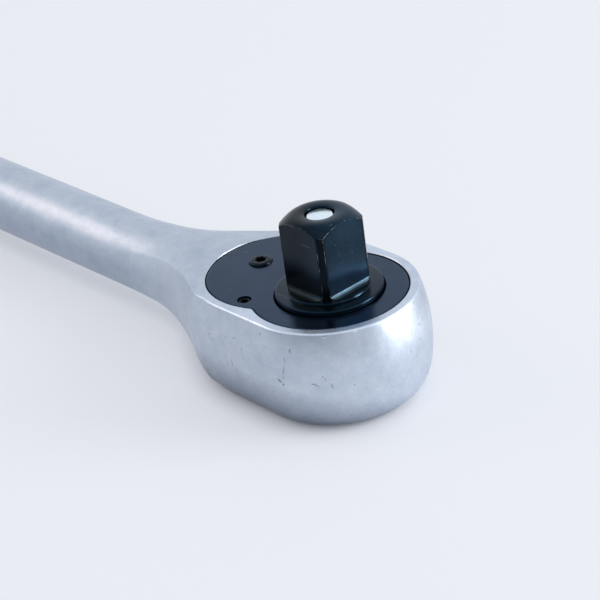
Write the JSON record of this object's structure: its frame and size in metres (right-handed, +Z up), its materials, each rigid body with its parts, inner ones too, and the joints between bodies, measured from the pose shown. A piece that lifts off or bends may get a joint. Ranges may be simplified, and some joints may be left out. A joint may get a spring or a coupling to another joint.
{
  "type": "long socket ratchet",
  "caption": "Long reversible socket ratchet: satin chrome forged handle and oval head, black cover plate and square drive with socket release, reversing lever in the back.",
  "frame": {"origin": "centre of the tool's footprint, on the surface that the back of the head lies on", "axes": "+X along the handle towards the head, +Z up along the drive axis out of the square, +Y across the handle"},
  "size_m": [0.4, 0.0392, 0.0397],
  "materials": {
    "satin_chrome": "satin chrome over a forged steel surface",
    "black_oxide": "black oxide with a blue-grey sheen",
    "bright_steel": "bright ground steel",
    "spring_steel": "drawn spring steel",
    "bronze": "plain bronze",
    "seal_rubber": "matte black rubber"
  },
  "bodies": {
    "head": {"forged_body": "satin_chrome", "cover_plate": "black_oxide", "cover_screw": "black_oxide", "pawl_pin_far": "spring_steel", "pawl_pin_near": "spring_steel", "pawl_spring_far": "spring_steel", "pawl_spring_near": "spring_steel", "detent_spring": "spring_steel", "thrust_washer": "bronze"},
    "drive": {"drive_gear": "black_oxide", "journal_seal": "seal_rubber", "release_spring": "spring_steel"},
    "release": {"release_pin": "bright_steel", "release_button": "bright_steel"},
    "ball": {"lock_ball": "bright_steel"},
    "selector": {"reverse_lever": "black_oxide", "shift_cam": "spring_steel", "cam_clip": "spring_steel"},
    "far_pawl": {"pawl_far": "black_oxide"},
    "near_pawl": {"pawl_near": "black_oxide"},
    "detent": {"detent_ball": "bright_steel"}
  },
  "joints": [
    {"name": "drive_spin", "type": "hinge", "parent": "head", "child": "drive", "pos_m": [0.18039, 0, 0.0235], "axis": [0, 0, 1], "continuous": true},
    {"name": "release_press", "type": "slide", "parent": "drive", "child": "release", "axis": [0, 0, 1], "range_m": [0, 0.0027], "stiffness_N_per_m": 800, "deforming": ["release_spring"]},
    {"name": "ball_in", "type": "slide", "parent": "drive", "child": "ball", "axis": [1, 0, 0], "range_m": [0, 0.00095]},
    {"name": "reverse", "type": "hinge", "parent": "head", "child": "selector", "pos_m": [0.16409, 0, 0], "axis": [0, 0, 1], "range_deg": [0, 90]},
    {"name": "far_pawl_swing", "type": "hinge", "parent": "head", "child": "far_pawl", "pos_m": [0.1689, 0.0128, 0], "axis": [0, 0, 1], "range_deg": [-12, 0], "deforming": ["pawl_spring_far"]},
    {"name": "near_pawl_swing", "type": "hinge", "parent": "head", "child": "near_pawl", "pos_m": [0.1689, -0.0128, 0], "axis": [0, 0, 1], "range_deg": [-12, 0], "deforming": ["pawl_spring_near"]},
    {"name": "detent_press", "type": "slide", "parent": "head", "child": "detent", "axis": [0, 0, 1], "range_m": [0, 0.0005], "stiffness_N_per_m": 300, "deforming": ["detent_spring"]}
  ],
  "couplings": [
    {"joint": "ball_in", "follows": "release_press", "ratio": 0.35},
    {"joint": "far_pawl_swing", "follows": "reverse", "ratio": -0.13333},
    {"joint": "near_pawl_swing", "follows": "reverse", "ratio": -0.13333}
  ]
}
